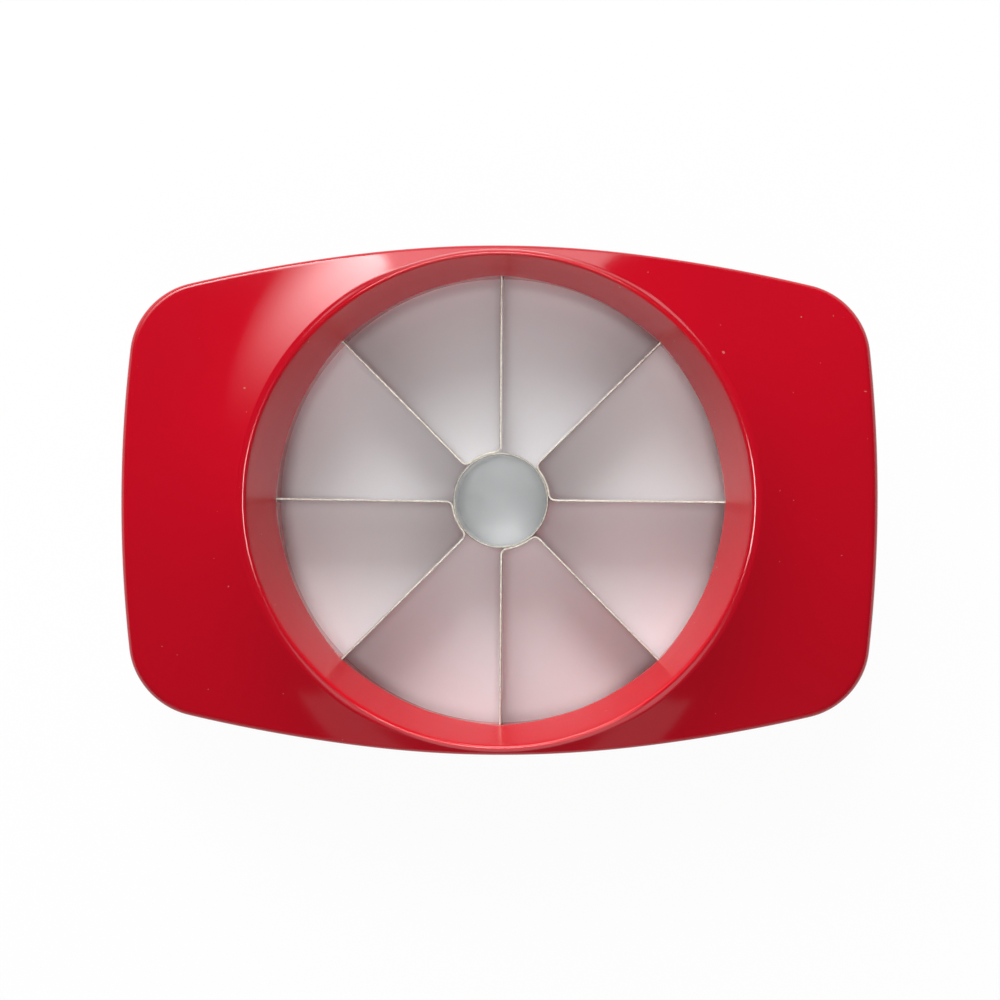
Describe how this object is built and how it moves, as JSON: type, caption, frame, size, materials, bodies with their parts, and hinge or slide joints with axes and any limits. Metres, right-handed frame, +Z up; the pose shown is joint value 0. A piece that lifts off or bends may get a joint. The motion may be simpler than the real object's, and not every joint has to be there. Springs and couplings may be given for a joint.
{
  "type": "apple slicer",
  "caption": "Two-handled apple slicer and corer: glossy red moulded shell on a blade ring, with folded steel strips radiating from a central coring tube.",
  "frame": {"origin": "on the corer tube's axis, in the plane of the lower cutting edges that the slicer stands on", "axes": "+Z up along the corer tube's axis, X from handle to handle, -Y the front long edge"},
  "size_m": [0.18, 0.121, 0.045],
  "materials": {
    "shell_plastic": "high-gloss injection-moulded ABS, red",
    "ring_plastic": "gloss injection-moulded ABS, red, slotted for the blades",
    "blade_steel": "rolled stainless strip, 0.5 mm, bright faces and sheared edges",
    "tube_steel": "bright stainless tube, ground lower edge"
  },
  "bodies": {
    "root": {"upper_shell": "shell_plastic", "blade_ring": "ring_plastic", "corer_tube": "tube_steel", "blade_right_back": "blade_steel", "blade_back_left": "blade_steel", "blade_left_front": "blade_steel", "blade_front_right": "blade_steel"}
  },
  "joints": []
}
